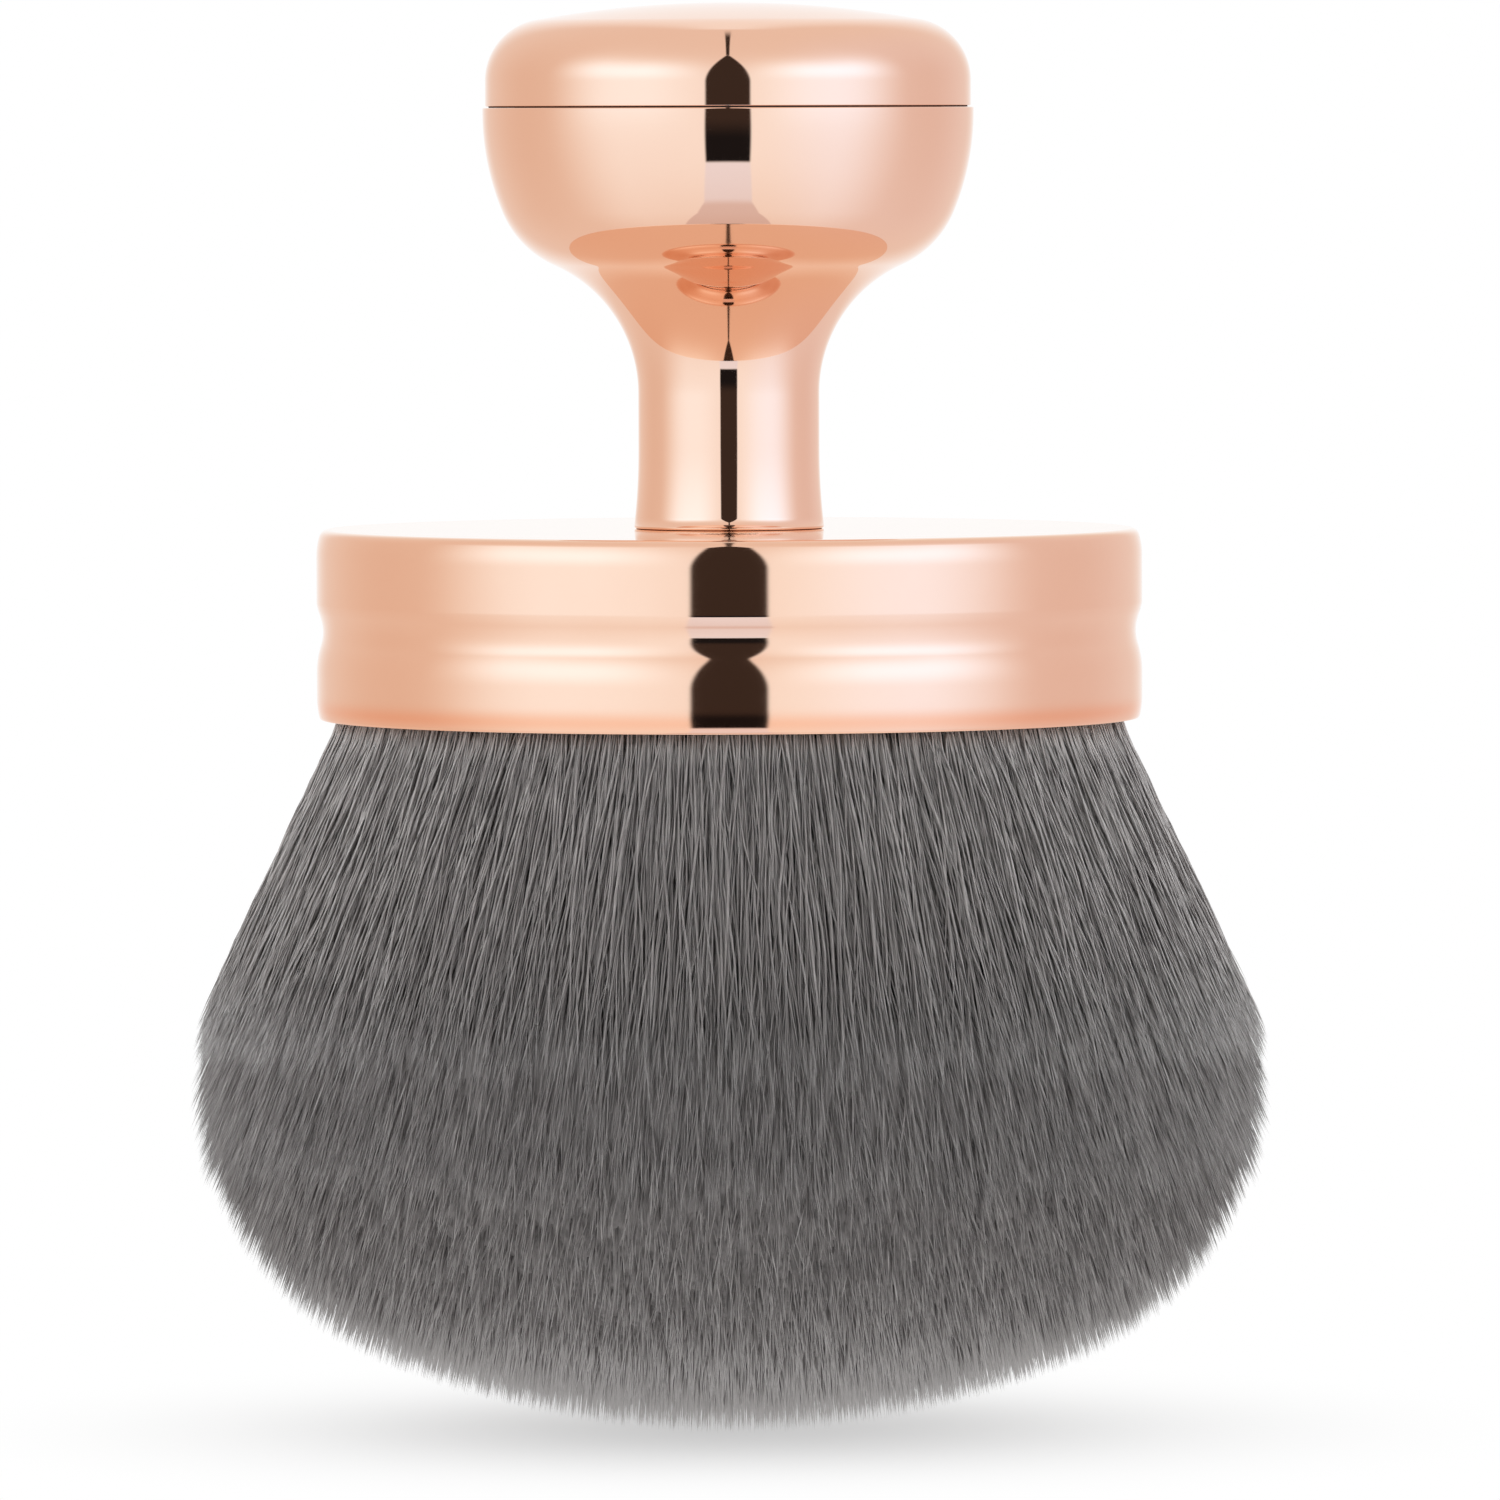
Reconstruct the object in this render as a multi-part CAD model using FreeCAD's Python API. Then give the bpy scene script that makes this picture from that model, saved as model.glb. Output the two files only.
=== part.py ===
import FreeCAD, Part

import math
import os

from FreeCAD import Vector

# Large kabuki brush, standing on its bristle tips with the handle up.
# Millimetres; the brush axis is Z and the tips stand on z = 0.

# Bristle pack
bristle_length = 49.8           # ferrule mouth to the crown of the tip dome
tip_flat_depth = 0.5            # how far the soft tips give where the brush stands on them
mouth_radius = 27.2             # bundle where it leaves the ferrule
head_radius = 37.35             # widest part of the fanned-out head
widest_band = 4.5               # height of the widest part, above the tip curve
shoulder_round = 8.4            # where the fanned side turns upright
tip_edge_round = 20.5           # where the side turns into the tip dome
tip_dome_radius = 61.7
flex_drop = 7.8                 # bending centre below the ferrule mouth
flex_gap = 0.3                  # between the packed core and the bending head
rim_drop = 1.5                  # rim of the bending head below the bending centre

# Ferrule, a drawn cup with a rolled groove and a turned-in lip
lip_reach = 1.8                 # outside of the ferrule to the bundle in its mouth
ferrule_height = 13.3
ferrule_wall = 0.6
ferrule_top_round = 0.7
lip_round = 0.9
lip_clearance = 0.1             # lip to bristle bundle
groove_height = 6.3             # middle of the groove above the mouth
groove_width = 4.6
groove_depth = 0.42

# Handle shell: neck, cove and bowl
neck_radius = 6.36
neck_length = 9.5               # foot to the start of the cove
foot_radius = 6.67
foot_flare = 5.5                # height over which the neck widens to its foot
foot_round = 0.2
bowl_radius = 17.24
bowl_wall = 2.2                 # wall beside the cap's skirt
bowl_side_radius = 18.3
bowl_side_angle = 22.5          # tilt of the bowl's side where its corner starts
bowl_corner_radius = 7.06
shoulder_angle = 66.0           # steepest tilt, where the bowl meets the cove
rim_height = 0.3                # upright edge under the seam
rim_round = 0.12

# End cap
cap_radius = 17.05
cap_height = 7.36               # seam to crown
cap_dome_radius = 76.0
cap_corner_round = 4.35
cap_wall = 1.8
cap_edge_round = 0.12
seam_gap = 0.14                 # the dark line between cap and bowl
skirt_length = 3.2
skirt_wall = 1.75
skirt_clearance = 0.05
bead_thickness = 0.8            # adhesive under the skirt

# Balance weight and the felt over it
weight_radius = 11.8
weight_height = 4.3
weight_clearance = 0.15
weight_edge = 0.5
pad_clearance = 0.6             # felt to the cap's skirt
pad_gap = 0.05                  # felt to the cap's ceiling

# Clamp screw, washer and threaded insert
screw_radius = 2.5
screw_head_radius = 4.3
screw_head_height = 3.0
screw_head_round = 1.2
screw_tip = 0.5
hex_across_flats = 3.0
hex_depth = 1.6
washer_radius = 4.4
washer_thickness = 0.8
screw_clearance = 0.2           # screw in the handle's bore and in the washer
head_clearance = 0.2            # round and above the screw's head
thread_clearance = 0.05         # screw in the insert
insert_wall = 1.2
insert_waist = 0.3              # depth of the insert's retaining waist
insert_flange = 1.2             # length of each gripping end
insert_clearance = 0.05

# Spigot that keys the handle to the ferrule and its plug
spigot_radius = 4.6
spigot_flat = 3.9               # axis to each flat
spigot_length = 1.8
spigot_clearance = 0.1

# Ferrule plug, resin and root ring
plug_clearance = 0.1
plug_chamfer = 0.4
boss_wall = 2.6
boss_depth = 2.4
key_hole_count = 6
key_hole_radius = 2.0
key_circle_radius = 18.0
key_clearance = 0.1
key_depth = 2.5                 # how far the resin fills each key hole
resin_thickness = 3.8
resin_clearance = 0.1
ring_clearance = 0.05

# Working values: the tightest inner bend of the ferrule's wall, how far a cut runs past a face,
# and how near two points count as one
least_round = 0.05
overcut = 1.0
same_point = 1e-6

# Heights
mouth_z = bristle_length - tip_flat_depth
ferrule_top_z = mouth_z + ferrule_height
groove_z = mouth_z + groove_height
plug_top_z = ferrule_top_z - ferrule_wall
plug_bottom_z = groove_z + groove_width / 2 + plug_clearance
resin_bottom_z = plug_bottom_z - resin_thickness
boss_bottom_z = plug_bottom_z - boss_depth
spigot_bottom_z = ferrule_top_z - spigot_length
insert_top_z = spigot_bottom_z - spigot_clearance
flex_z = mouth_z - flex_drop

# Handle curve: the cove's radius follows from the radii that it joins
side_tilt = math.radians(bowl_side_angle)
steep_tilt = math.radians(shoulder_angle)
side_reach = bowl_side_radius * (1 - math.cos(side_tilt))
corner_reach = bowl_corner_radius * (math.cos(side_tilt) - math.cos(steep_tilt))
cove_reach = bowl_radius - neck_radius - side_reach - corner_reach
cove_radius = cove_reach / (1 - math.cos(steep_tilt))
cove_z = ferrule_top_z + neck_length
corner_z = cove_z + cove_radius * math.sin(steep_tilt)
side_z = corner_z + bowl_corner_radius * (math.sin(steep_tilt) - math.sin(side_tilt))
seam_z = side_z + bowl_side_radius * math.sin(side_tilt) + rim_height

# Inside of the bowl, from the cap down to the screw
socket_radius = bowl_radius - bowl_wall
skirt_radius = socket_radius - skirt_clearance
skirt_bore = skirt_radius - skirt_wall
skirt_z = seam_z - skirt_length
ledge_z = skirt_z - bead_thickness
pocket_z = ledge_z - weight_height
seat_z = pocket_z - screw_head_height - washer_thickness - head_clearance
head_z = seat_z + washer_thickness

# Cap dome
crown_z = seam_z + cap_height
cap_dome_z = crown_z - cap_dome_radius
ceiling_radius = cap_dome_radius - cap_wall

# Fanned side of the bristle head
tip_dome_z = tip_dome_radius - tip_flat_depth
tip_edge_reach = head_radius - tip_edge_round
tip_edge_drop = math.sqrt((tip_dome_radius - tip_edge_round) ** 2 - tip_edge_reach ** 2)
belly_z = tip_dome_z - tip_edge_drop
fan_bottom_z = belly_z + widest_band
fan_slope = (head_radius - mouth_radius) / (mouth_z - fan_bottom_z)

# Walls of the ferrule
ferrule_radius = mouth_radius + lip_reach
inner_radius = ferrule_radius - ferrule_wall
inner_top_round = max(ferrule_top_round - ferrule_wall, least_round)
inner_lip_round = max(lip_round - ferrule_wall, least_round)
groove_inner_radius = inner_radius - groove_depth
insert_radius = screw_radius + thread_clearance + insert_wall


class Section:
    """Half-section in the plane y = 0, drawn from point to point and turned about Z."""

    def __init__(self, r, z):
        self.first = (r, z)
        self.here = (r, z)
        self.edges = []

    def line(self, r, z):
        """Straight run to (r, z)."""
        start = Vector(self.here[0], 0, self.here[1])
        self.edges.append(Part.LineSegment(start, Vector(r, 0, z)).toShape())
        self.here = (r, z)
        return self

    def arc(self, centre_r, centre_z, sweep):
        """Arc about a centre through sweep degrees, anticlockwise as r runs right and z up."""
        dr = self.here[0] - centre_r
        dz = self.here[1] - centre_z
        radius = math.hypot(dr, dz)
        start = math.atan2(dz, dr)
        points = [Vector(self.here[0], 0, self.here[1])]
        for part in (0.5, 1.0):
            angle = start + math.radians(sweep) * part
            points.append(Vector(centre_r + radius * math.cos(angle), 0, centre_z + radius * math.sin(angle)))
        self.edges.append(Part.Arc(*points).toShape())
        self.here = (points[2].x, points[2].z)
        return self

    def turned(self):
        """Closed solid of revolution."""
        if math.dist(self.here, self.first) > same_point:
            self.line(*self.first)
        face = Part.Face(Part.Wire(self.edges))
        solid = face.revolve(Vector(0, 0, 0), Vector(0, 0, 1), 360)
        if solid.Volume < 0:
            solid.reverse()
        return solid


def ring(inner, outer, low, high):
    """Flat ring between two radii and two heights."""
    return Section(inner, low).line(outer, low).line(outer, high).line(inner, high).turned()


def disc(radius, low, high):
    """Plain round disc on the axis."""
    return Part.makeCylinder(radius, high - low, Vector(0, 0, low))


def keyed_disc(radius, flat, low, high):
    """Disc with two flats, at x = +flat and x = -flat."""
    block = Part.makeBox(2 * flat, 2 * radius, high - low, Vector(-flat, -radius, low))
    return disc(radius, low, high).common(block)


def spigot_socket(low, high):
    """Room for the handle's spigot, clear of it all round."""
    return keyed_disc(spigot_radius + spigot_clearance, spigot_flat + spigot_clearance, low, high)


def end_cap():
    """Domed cap with a skirt that enters the bowl."""
    corner_centre = cap_radius - cap_corner_round
    corner_rise = math.sqrt((cap_dome_radius - cap_corner_round) ** 2 - corner_centre ** 2)
    corner_sweep = math.degrees(math.atan2(corner_rise, corner_centre))
    ceiling_sweep = math.degrees(math.asin(skirt_bore / ceiling_radius))
    edge_z = seam_z + seam_gap
    outline = Section(skirt_bore, skirt_z).line(skirt_radius, skirt_z).line(skirt_radius, edge_z)
    outline.line(cap_radius - cap_edge_round, edge_z)
    outline.arc(cap_radius - cap_edge_round, edge_z + cap_edge_round, 90)
    outline.line(cap_radius, cap_dome_z + corner_rise)
    outline.arc(corner_centre, cap_dome_z + corner_rise, corner_sweep)
    outline.arc(0, cap_dome_z, 90 - corner_sweep)
    outline.line(0, crown_z - cap_wall)
    outline.arc(0, cap_dome_z, -ceiling_sweep)
    return outline.turned()


def cap_adhesive_bead():
    """Ring of cured adhesive between the cap's skirt and the ledge in the bowl."""
    return ring(skirt_bore, skirt_radius, ledge_z, skirt_z)


def weight_pad():
    """Felt disc that fills the cap above the weight, so that nothing rattles."""
    pad_radius = skirt_bore - pad_clearance
    top_radius = ceiling_radius - pad_gap
    edge_rise = math.sqrt(top_radius ** 2 - pad_radius ** 2)
    sweep = math.degrees(math.asin(pad_radius / top_radius))
    outline = Section(0, ledge_z).line(pad_radius, ledge_z).line(pad_radius, cap_dome_z + edge_rise)
    return outline.arc(0, cap_dome_z, sweep).turned()


def balance_weight():
    """Turned steel slug in the bowl's pocket."""
    outline = Section(0, pocket_z).line(weight_radius - weight_edge, pocket_z)
    outline.line(weight_radius, pocket_z + weight_edge).line(weight_radius, ledge_z - weight_edge)
    outline.line(weight_radius - weight_edge, ledge_z).line(0, ledge_z)
    return outline.turned()


def handle_outside():
    """Neck, cove and bowl as one turned form, from the foot to the seam."""
    flare_depth = foot_radius - neck_radius
    flare_height = foot_flare - foot_round
    flare_radius = (flare_height ** 2 + flare_depth ** 2) / (2 * flare_depth)
    flare_sweep = math.degrees(math.asin(flare_height / flare_radius))
    flare_z = ferrule_top_z + foot_flare
    outline = Section(0, ferrule_top_z).line(foot_radius - foot_round, ferrule_top_z)
    outline.arc(foot_radius - foot_round, ferrule_top_z + foot_round, 90)
    outline.arc(neck_radius + flare_radius, flare_z, -flare_sweep)
    outline.line(neck_radius, cove_z)
    outline.arc(neck_radius + cove_radius, cove_z, -shoulder_angle)
    r, z = outline.here
    corner_r = r - bowl_corner_radius * math.cos(steep_tilt)
    outline.arc(corner_r, z + bowl_corner_radius * math.sin(steep_tilt), shoulder_angle - bowl_side_angle)
    r, z = outline.here
    side_r = r - bowl_side_radius * math.cos(side_tilt)
    outline.arc(side_r, z + bowl_side_radius * math.sin(side_tilt), bowl_side_angle)
    outline.line(bowl_radius, seam_z - rim_round)
    outline.arc(bowl_radius - rim_round, seam_z - rim_round, 90)
    return outline.line(0, seam_z).turned()


def handle_shell():
    """Moulded handle: bored neck, pocketed bowl and a keyed spigot under the foot."""
    spigot = keyed_disc(spigot_radius, spigot_flat, spigot_bottom_z, ferrule_top_z)
    hollow = disc(screw_radius + screw_clearance, spigot_bottom_z - overcut, seat_z)
    hollow = hollow.fuse(disc(washer_radius + head_clearance, seat_z, pocket_z))
    hollow = hollow.fuse(disc(weight_radius + weight_clearance, pocket_z, ledge_z))
    hollow = hollow.fuse(disc(socket_radius, ledge_z, seam_z + overcut))
    return handle_outside().fuse(spigot).cut(hollow).removeSplitter()


def clamp_screw():
    """Pan-head socket screw from the bowl down into the insert."""
    tip_z = boss_bottom_z + screw_tip
    top_z = head_z + screw_head_height
    outline = Section(0, tip_z).line(screw_radius - screw_tip, tip_z).line(screw_radius, tip_z + screw_tip)
    outline.line(screw_radius, head_z).line(screw_head_radius, head_z)
    outline.line(screw_head_radius, top_z - screw_head_round)
    outline.arc(screw_head_radius - screw_head_round, top_z - screw_head_round, 90)
    screw = outline.line(0, top_z).turned()
    corner = hex_across_flats / math.sqrt(3)
    points = [
        Vector(corner * math.cos(math.radians(60 * i)), corner * math.sin(math.radians(60 * i)), top_z)
        for i in range(7)
    ]
    socket = Part.Face(Part.makePolygon(points)).extrude(Vector(0, 0, -hex_depth))
    return screw.cut(socket)


def screw_washer():
    """Flat washer under the screw's head."""
    return ring(screw_radius + screw_clearance, washer_radius, seat_z, head_z)


def threaded_insert():
    """Brass insert with two gripping ends and a retaining waist."""
    bore = screw_radius + thread_clearance
    waist = insert_radius - insert_waist
    outline = Section(bore, boss_bottom_z).line(insert_radius, boss_bottom_z)
    outline.line(insert_radius, boss_bottom_z + insert_flange).line(waist, boss_bottom_z + insert_flange)
    outline.line(waist, insert_top_z - insert_flange).line(insert_radius, insert_top_z - insert_flange)
    return outline.line(insert_radius, insert_top_z).line(bore, insert_top_z).turned()


def groove_arcs(outline, radius, inset):
    """Rolled groove from its upper to its lower end, on a wall that lies inset behind the outside.

    Four arcs of one radius meet smoothly: out of the land, into the valley, and back again.
    """
    half = groove_width / 2
    bend = 2 * math.atan2(groove_depth, half)
    arc_radius = half / (2 * math.sin(bend))
    turn = math.degrees(bend)
    outline.line(radius, groove_z + half)
    outline.arc(radius - (arc_radius - inset), groove_z + half, -turn)
    outline.arc(radius - groove_depth + arc_radius + inset, groove_z, 2 * turn)
    outline.arc(radius - (arc_radius - inset), groove_z - half, -turn)


def ferrule():
    """Drawn cup: flat top, rolled groove, lip turned in round the bundle, keyed hole in the middle."""
    lip_radius = mouth_radius + lip_clearance
    lip_top_z = mouth_z + ferrule_wall
    outline = Section(0, ferrule_top_z).line(ferrule_radius - ferrule_top_round, ferrule_top_z)
    outline.arc(ferrule_radius - ferrule_top_round, ferrule_top_z - ferrule_top_round, -90)
    groove_arcs(outline, ferrule_radius, 0)
    outline.line(ferrule_radius, mouth_z + lip_round)
    outline.arc(ferrule_radius - lip_round, mouth_z + lip_round, -90)
    outline.line(lip_radius, mouth_z).line(0, mouth_z)
    inside = Section(0, plug_top_z).line(inner_radius - inner_top_round, plug_top_z)
    inside.arc(inner_radius - inner_top_round, plug_top_z - inner_top_round, -90)
    groove_arcs(inside, inner_radius, ferrule_wall)
    inside.line(inner_radius, lip_top_z + inner_lip_round)
    inside.arc(inner_radius - inner_lip_round, lip_top_z + inner_lip_round, -90)
    inside.line(lip_radius, lip_top_z).line(lip_radius, mouth_z - overcut).line(0, mouth_z - overcut)
    hole = spigot_socket(plug_top_z - overcut, ferrule_top_z + overcut)
    return outline.turned().cut(inside.turned()).cut(hole)


def key_pegs(radius, low, high):
    """Upright pegs on the key circle, one for each key hole."""
    pegs = []
    for i in range(key_hole_count):
        angle = 2 * math.pi * i / key_hole_count
        foot = Vector(key_circle_radius * math.cos(angle), key_circle_radius * math.sin(angle), low)
        pegs.append(Part.makeCylinder(radius, high - low, foot))
    return Part.makeCompound(pegs)


def ferrule_plug():
    """Moulded disc under the ferrule's top, with a boss for the insert and holes that key the resin."""
    plug_radius = inner_radius - plug_clearance
    insert_hole = insert_radius + insert_clearance
    boss_radius = insert_hole + boss_wall
    outline = Section(insert_hole, boss_bottom_z).line(boss_radius, boss_bottom_z)
    outline.line(boss_radius, plug_bottom_z).line(plug_radius, plug_bottom_z)
    outline.line(plug_radius, plug_top_z - plug_chamfer).line(plug_radius - plug_chamfer, plug_top_z)
    outline.line(insert_hole, plug_top_z)
    pocket = spigot_socket(insert_top_z, plug_top_z + overcut)
    holes = key_pegs(key_hole_radius, plug_bottom_z - overcut, plug_top_z + overcut)
    return outline.turned().cut(pocket).cut(holes)


def root_resin():
    """Cast resin that holds the bristle roots and reaches up into the plug's key holes."""
    resin_radius = groove_inner_radius - resin_clearance
    recess_radius = insert_radius + insert_clearance + boss_wall + resin_clearance
    block = disc(resin_radius, resin_bottom_z, plug_bottom_z)
    recess = disc(recess_radius, boss_bottom_z - resin_clearance, plug_bottom_z + overcut)
    pegs = key_pegs(key_hole_radius - key_clearance, plug_bottom_z, plug_bottom_z + key_depth)
    return block.cut(recess).fuse(pegs).removeSplitter()


def root_ring():
    """Band drawn round the bundle, standing on the ferrule's lip below the groove."""
    bore = mouth_radius + ring_clearance
    outside = inner_radius - plug_clearance
    low = mouth_z + ferrule_wall
    high = groove_z - groove_width / 2
    outline = Section(bore, low).line(outside - inner_lip_round, low).line(outside, low + inner_lip_round)
    return outline.line(outside, high).line(bore, high).turned()


def fan_radius(z):
    """Radius of the bundle's straight fanned side at a height below the mouth."""
    return mouth_radius + fan_slope * (mouth_z - z)


def bristle_core():
    """Packed roots: straight in the ferrule, fanned below it, ending in a ball about the bending centre."""
    outline = Section(0, resin_bottom_z).line(mouth_radius, resin_bottom_z).line(mouth_radius, mouth_z)
    outline.line(fan_radius(flex_z), flex_z)
    return outline.arc(0, flex_z, -90).turned()


def bristle_head():
    """Bending ends: the fanned side, the tip dome and a hollow that clears the core's ball at every angle."""
    hollow_radius = fan_radius(flex_z) + flex_gap
    rim_z = flex_z - rim_drop
    rim_angle = math.degrees(math.asin(rim_drop / hollow_radius))
    fan_angle = math.degrees(math.atan(fan_slope))
    shoulder_length = shoulder_round * math.tan(math.radians(fan_angle / 2))
    shoulder_top = fan_bottom_z + shoulder_length * math.cos(math.radians(fan_angle))
    edge_sweep = math.degrees(math.atan2(tip_edge_drop, tip_edge_reach))
    flat_sweep = math.degrees(math.acos(math.sqrt(tip_dome_radius ** 2 - tip_dome_z ** 2) / tip_dome_radius))
    outline = Section(0, flex_z - hollow_radius).arc(0, flex_z, 90 - rim_angle)
    outline.line(fan_radius(rim_z), rim_z).line(fan_radius(shoulder_top), shoulder_top)
    outline.arc(head_radius - shoulder_round, fan_bottom_z - shoulder_length, -fan_angle)
    outline.line(head_radius, belly_z)
    outline.arc(tip_edge_reach, belly_z, -edge_sweep)
    outline.arc(0, tip_dome_z, edge_sweep - flat_sweep)
    return outline.line(0, 0).turned()


PIECES = [
    end_cap,
    cap_adhesive_bead,
    weight_pad,
    balance_weight,
    handle_shell,
    clamp_screw,
    screw_washer,
    threaded_insert,
    ferrule,
    ferrule_plug,
    root_resin,
    root_ring,
    bristle_core,
    bristle_head,
]

os.makedirs("parts", exist_ok=True)
for make in PIECES:
    name = make.__name__
    shape = make()
    shape.exportStep("parts/" + name + ".step")
    box = shape.optimalBoundingBox()
    print(f"{name}: valid {shape.isValid()}, {shape.Volume:.0f} mm3, z {box.ZMin:.2f} to {box.ZMax:.2f}")
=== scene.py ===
import math

import bpy
import numpy as np
from mathutils import Euler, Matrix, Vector


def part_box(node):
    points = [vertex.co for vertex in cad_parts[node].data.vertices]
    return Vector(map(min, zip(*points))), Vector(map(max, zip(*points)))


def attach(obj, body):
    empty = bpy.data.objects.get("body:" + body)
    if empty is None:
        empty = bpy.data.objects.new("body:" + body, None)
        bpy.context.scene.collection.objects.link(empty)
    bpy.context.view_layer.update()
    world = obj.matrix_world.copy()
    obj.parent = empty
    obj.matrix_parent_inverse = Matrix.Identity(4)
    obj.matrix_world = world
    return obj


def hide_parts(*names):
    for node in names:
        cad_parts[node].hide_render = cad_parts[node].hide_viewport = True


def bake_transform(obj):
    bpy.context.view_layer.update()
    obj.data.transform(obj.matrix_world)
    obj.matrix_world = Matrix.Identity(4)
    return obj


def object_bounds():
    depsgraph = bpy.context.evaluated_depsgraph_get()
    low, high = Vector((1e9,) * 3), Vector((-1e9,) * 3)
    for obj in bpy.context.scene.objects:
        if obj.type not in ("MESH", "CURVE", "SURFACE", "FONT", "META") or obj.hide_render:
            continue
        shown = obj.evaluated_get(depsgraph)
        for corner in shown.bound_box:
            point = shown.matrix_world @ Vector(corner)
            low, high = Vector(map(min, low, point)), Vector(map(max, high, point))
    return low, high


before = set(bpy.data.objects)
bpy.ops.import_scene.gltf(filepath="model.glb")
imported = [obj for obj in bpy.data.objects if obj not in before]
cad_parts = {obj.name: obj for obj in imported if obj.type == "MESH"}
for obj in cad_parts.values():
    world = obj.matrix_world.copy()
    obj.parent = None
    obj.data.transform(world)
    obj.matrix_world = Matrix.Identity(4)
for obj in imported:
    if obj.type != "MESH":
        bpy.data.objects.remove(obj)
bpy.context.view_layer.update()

# Large kabuki brush standing on its tips: rose-gold plated knob and ferrule over a fanned grey pack.
# Sizes are in millimetres until a mesh is made; MM turns them into metres.
MM = 0.001
full_turn = 2 * np.pi
right_angle = 90.0              # in degrees, like every angle of an outline
rng = np.random.default_rng(seed=20)

# Heights and radii that the solids give
mouth_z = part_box("ferrule")[0].z / MM
ferrule_top_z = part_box("ferrule")[1].z / MM
seam_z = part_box("handle_shell")[1].z / MM
crown_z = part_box("end_cap")[1].z / MM
ferrule_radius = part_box("ferrule")[1].x / MM
bowl_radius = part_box("handle_shell")[1].x / MM
head_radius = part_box("bristle_head")[1].x / MM

# End cap
cap_radius = 17.05
cap_dome_radius = 76.0
cap_corner_round = 4.35
cap_wall = 1.8
cap_edge_round = 0.08
seam_gap = 0.1
seam_depth = 0.25
seat_gap = 0.005
skirt_radius = 14.99
skirt_bore = 13.24
skirt_length = 3.2

# Handle shell
neck_radius = 6.36
neck_length = 9.5
foot_radius = 6.67
foot_flare = 5.5
foot_round = 0.2
bowl_side_radius = 18.3
bowl_side_angle = 22.5
bowl_corner_radius = 7.06
shoulder_angle = 66.0
rim_round = 0.1
bowl_wall = 2.2
socket_depth = 4.0
pocket_radius = 11.95
pocket_depth = 4.3
seat_radius = 4.6
seat_depth = 4.0
screw_bore = 2.7

# Ferrule
ferrule_wall = 0.6
top_ease_radius = 5.0           # the wall leans in gently before its top edge
top_ease_angle = 16.0
ferrule_top_round = 0.7
lip_ease_radius = 7.0           # and again above its hem
lip_ease_angle = 12.0
hem_height = 0.2
hem_angle = 35.0
hem_round = 0.05
lip_radius = 27.3
groove_height = 6.13            # from the mouth to the groove's floor
groove_entry_round = 0.8
groove_flank_angle = 11.2       # lean at which the flank begins, and at its steepest place
groove_steepest_angle = 20.0
groove_flank_round = 4.6
groove_floor_round = 2.8
groove_lower_round = 3.1
groove_exit_angle = 17.5
spigot_hole = 4.7

# Bristle pack
mouth_radius = 27.2
widest_band = 4.5
shoulder_round = 8.4
tip_edge_round = 20.5
tip_dome_radius = 61.7
tip_drop = 0.5                  # soft tips reach this far below the solid's standing flat

# Mesh fineness
turn_steps = 192
arc_step_deg = 1.5
least_arc_steps = 8
line_step = 1.2
least_line_steps = 6


class Outline:
    """Half-section in r and z, drawn from point to point and sampled finely enough for a mirror finish."""

    def __init__(self, r, z):
        self.runs = [np.array([[r, z]])]

    @property
    def here(self):
        return self.runs[-1][-1]

    def line(self, r, z):
        """Straight run; its points crowd towards both ends on a cosine, so that corners stay crisp."""
        start = self.here
        end = np.array([r, z])
        steps = max(least_line_steps, math.ceil(np.linalg.norm(end - start) / line_step))
        share = 0.5 - 0.5 * np.cos(np.linspace(0, np.pi, steps + 1)[1:, None])
        self.runs.append(start + (end - start) * share)
        return self

    def arc(self, centre_r, centre_z, sweep):
        """Arc about a centre through sweep degrees, anticlockwise as r runs right and z up."""
        centre = np.array([centre_r, centre_z])
        spoke = self.here - centre
        steps = max(least_arc_steps, math.ceil(abs(sweep) / arc_step_deg))
        angle = math.atan2(spoke[1], spoke[0]) + np.radians(sweep) * np.linspace(0, 1, steps + 1)[1:, None]
        self.runs.append(centre + np.hypot(*spoke) * np.hstack([np.cos(angle), np.sin(angle)]))
        return self

    def bend(self, radius, lean, turn):
        """Arc on from a wall whose outward normal leans up by lean degrees, turned by turn degrees more.

        A positive turn hollows the wall, about a centre outside it; a negative one rounds it.
        """
        tilt = math.radians(lean)
        outward = math.copysign(radius, turn) * np.array([math.cos(tilt), math.sin(tilt)])
        return self.arc(*(self.here + outward), turn)

    def points(self):
        return np.concatenate(self.runs)


def new_piece(name, vertices, face_groups, uv=None):
    """Mesh object at the origin, from vertices in millimetres and groups of faces of one size each."""
    mesh = bpy.data.meshes.new(name)
    corners = np.concatenate([faces.ravel() for faces in face_groups])
    sizes = np.concatenate([np.full(len(faces), faces.shape[1]) for faces in face_groups])
    mesh.vertices.add(len(vertices))
    mesh.vertices.foreach_set("co", (vertices * MM).astype(np.float32).ravel())
    mesh.loops.add(len(corners))
    mesh.loops.foreach_set("vertex_index", corners.astype(np.int32))
    mesh.polygons.add(len(sizes))
    mesh.polygons.foreach_set("loop_start", np.concatenate([[0], np.cumsum(sizes)[:-1]]).astype(np.int32))
    mesh.polygons.foreach_set("use_smooth", np.ones(len(sizes), bool))
    if uv is not None:
        mesh.uv_layers.new(name="OFBake").data.foreach_set("uv", uv[corners].astype(np.float32).ravel())
    mesh.update(calc_edges=True)
    mesh.validate()
    piece = bpy.data.objects.new(name, mesh)
    bpy.context.scene.collection.objects.link(piece)
    return piece


def around_axis(r, turn, z):
    """Points at radius r, angle turn and height z: (r cos t, r sin t, z)."""
    return np.stack([r * np.cos(turn), r * np.sin(turn), z], axis=-1)


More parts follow.
